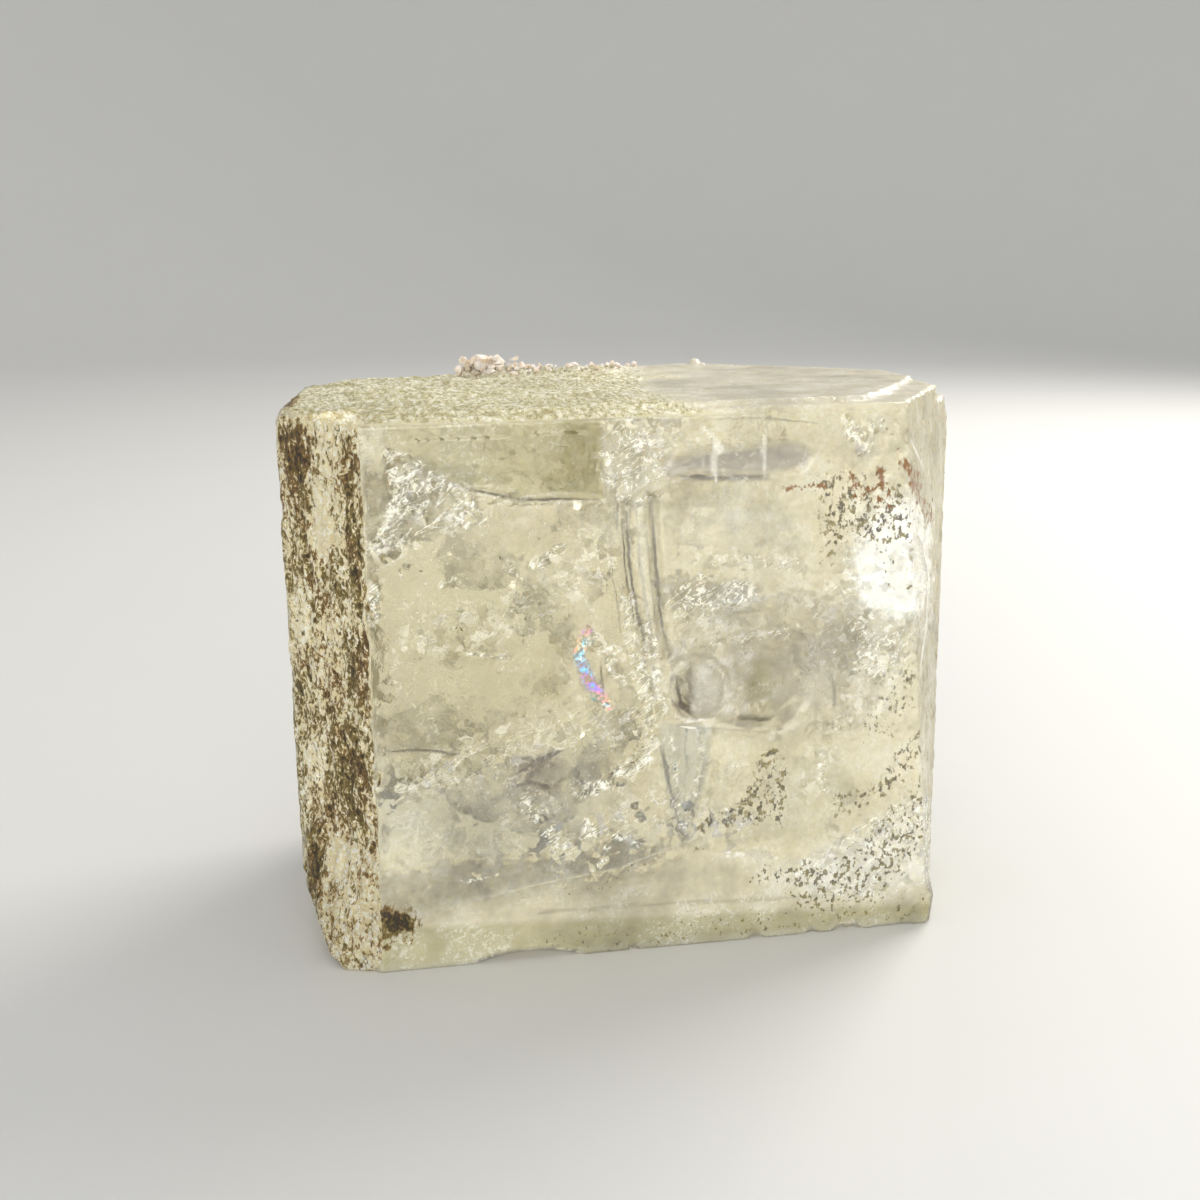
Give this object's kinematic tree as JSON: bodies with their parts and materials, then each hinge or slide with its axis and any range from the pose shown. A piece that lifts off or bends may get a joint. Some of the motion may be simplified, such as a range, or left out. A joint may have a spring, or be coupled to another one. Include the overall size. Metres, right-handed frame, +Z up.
{
  "type": "adularia crystal specimen",
  "caption": "Blocky translucent pale yellow feldspar crystal with bevelled flanks and a stained, pitted side, standing on its flat base.",
  "frame": {"origin": "on the resting plane, under the middle of the crystal's bounding box", "axes": "+Z up, +X along the broad front face towards its right edge, -Y out of the broad front face"},
  "size_m": [0.0338, 0.0208, 0.0266],
  "materials": {
    "feldspar": "vitreous, clear to milky pale greenish yellow, with inner veils and brown iron and chlorite stains"
  },
  "bodies": {
    "root": {"adularia_crystal": "feldspar"}
  },
  "joints": []
}
